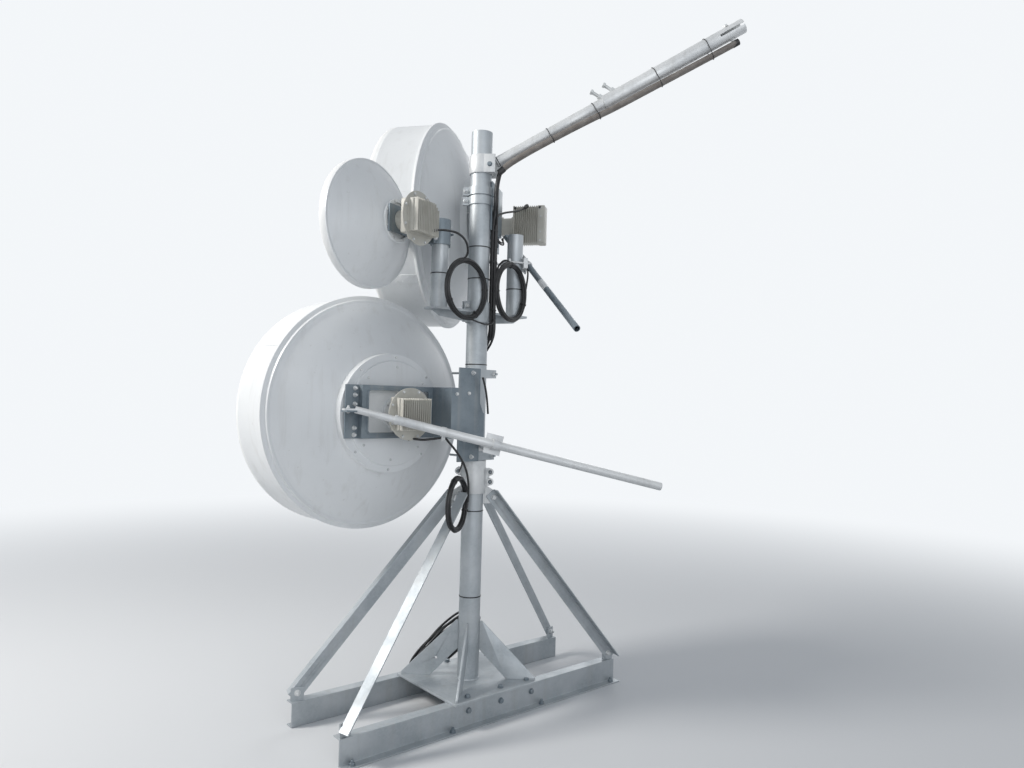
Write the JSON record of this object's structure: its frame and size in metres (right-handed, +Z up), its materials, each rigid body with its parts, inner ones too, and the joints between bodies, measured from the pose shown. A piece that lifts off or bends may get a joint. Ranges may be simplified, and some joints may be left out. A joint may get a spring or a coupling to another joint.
{
  "type": "rooftop microwave antenna mast",
  "caption": "Braced galvanised pipe mast on a railed base frame, carrying shrouded drum antennas, a small dish, radios, sway struts, a rising stay and cable coils.",
  "frame": {"origin": "on the mast's axis at floor level, the middle of the anchor pattern on the undersides of the rails", "axes": "+Z up the mast, +X along the rails, +Y from the front rail to the rear rail"},
  "size_m": [2.099, 2.122, 3.6621],
  "materials": {
    "galvanised_steel": "hot dip galvanised, matt grey",
    "weathered_steel": "dulled galvanising",
    "drum_paint": "light grey white paint, satin",
    "radome": "off white, satin",
    "radio_paint": "beige grey powder coat",
    "conduit_jacket": "grey brown flexible conduit",
    "cable_jacket": "black jacket, satin"
  },
  "bodies": {
    "root": {"front_rail": "galvanised_steel", "rear_rail": "galvanised_steel", "base_plate": "galvanised_steel", "gussets": "galvanised_steel", "mast": "galvanised_steel", "mast_cap": "galvanised_steel", "brace_collar": "galvanised_steel", "brace_front_left": "galvanised_steel", "brace_front_right": "galvanised_steel", "brace_rear_left": "galvanised_steel", "brace_rear_right": "galvanised_steel", "lower_reflector": "drum_paint", "lower_shroud": "drum_paint", "lower_radome": "radome", "lower_bracket": "weathered_steel", "lower_clamps": "galvanised_steel", "lower_radio": "radio_paint", "lower_strut": "galvanised_steel", "upper_strut": "weathered_steel", "strut_clamps": "galvanised_steel", "upper_reflector": "drum_paint", "upper_shroud": "drum_paint", "upper_radome": "radome", "upper_bracket": "weathered_steel", "upper_clamps": "galvanised_steel", "upper_radio": "radio_paint", "dish_reflector": "drum_paint", "dish_radome": "radome", "dish_bracket": "weathered_steel", "dish_radio": "radio_paint", "cross_arm": "galvanised_steel", "left_stub": "galvanised_steel", "right_stub": "galvanised_steel", "stay_clamp": "galvanised_steel", "stay_tube": "galvanised_steel", "stay_sleeve": "galvanised_steel", "cable_trunk": "cable_jacket", "stay_conduit": "conduit_jacket", "left_coil": "cable_jacket", "right_coil": "cable_jacket", "lower_coil": "cable_jacket", "base_coil": "cable_jacket", "dish_jumper": "cable_jacket", "upper_jumper": "cable_jacket", "lower_jumper": "cable_jacket"}
  },
  "joints": []
}
